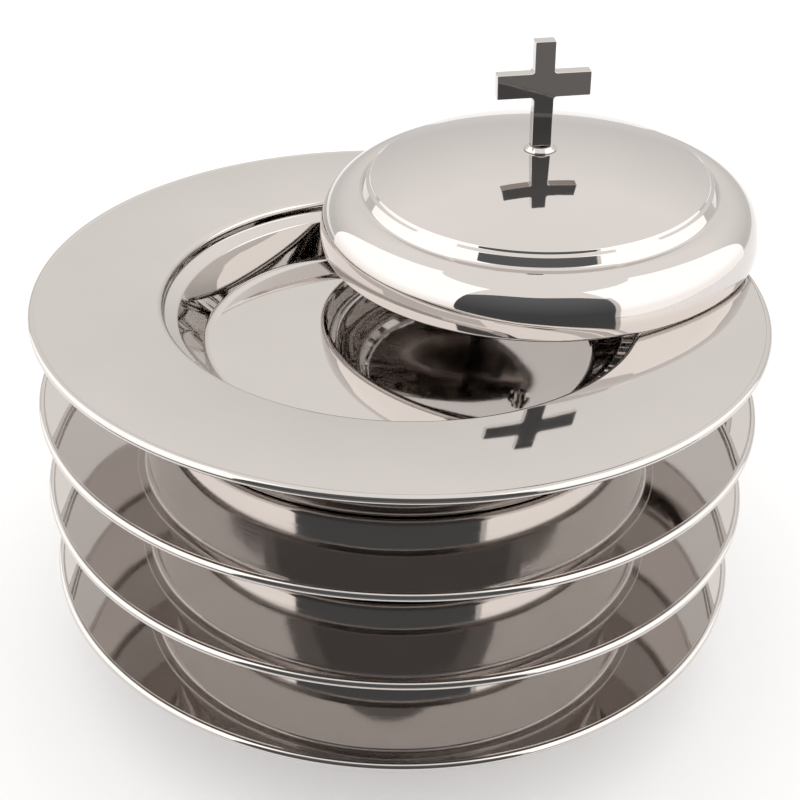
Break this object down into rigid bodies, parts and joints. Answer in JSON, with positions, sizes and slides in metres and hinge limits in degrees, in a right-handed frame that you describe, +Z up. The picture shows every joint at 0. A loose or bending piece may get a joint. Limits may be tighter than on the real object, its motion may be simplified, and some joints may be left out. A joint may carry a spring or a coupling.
{
  "type": "stacking communion bread plate set",
  "caption": "Stack of wide-rimmed round plates with wells, each standing on a ring in the one below, and a domed lid with a cross handle lying tilted on top.",
  "frame": {"origin": "on the stack's axis, on the plane that the bottom plate's ring stands on", "axes": "+Z up along the stack's axis; the lid lies towards +X and +Y; the picture looks along +Y"},
  "size_m": [0.2592, 0.2582, 0.2167],
  "materials": {
    "plate_steel": "mirror-polished stainless steel",
    "ring_steel": "mirror-polished stainless steel",
    "lid_steel": "mirror-polished stainless steel",
    "cross_steel": "polished stainless steel",
    "screw_steel": "plain stainless steel"
  },
  "bodies": {
    "bottom_plate": {"bottom_dish": "plate_steel", "bottom_ring": "ring_steel"},
    "third_plate": {"third_dish": "plate_steel", "third_ring": "ring_steel"},
    "second_plate": {"second_dish": "plate_steel", "second_ring": "ring_steel"},
    "top_plate": {"top_dish": "plate_steel", "top_ring": "ring_steel"},
    "lid": {"lid_shell": "lid_steel", "handle_collar": "lid_steel", "cross_handle": "cross_steel", "handle_washer": "screw_steel", "handle_screw": "screw_steel"}
  },
  "joints": [
    {"name": "third_plate_lift", "type": "slide", "parent": "bottom_plate", "child": "third_plate", "axis": [0, 0, 1], "range_m": [0, 0.06]},
    {"name": "second_plate_lift", "type": "slide", "parent": "third_plate", "child": "second_plate", "axis": [0, 0, 1], "range_m": [0, 0.06]},
    {"name": "top_plate_lift", "type": "slide", "parent": "second_plate", "child": "top_plate", "axis": [0, 0, 1], "range_m": [0, 0.06]},
    {"name": "lid_lift", "type": "slide", "parent": "top_plate", "child": "lid", "axis": [0, 0, 1], "range_m": [0, 0.08]}
  ]
}
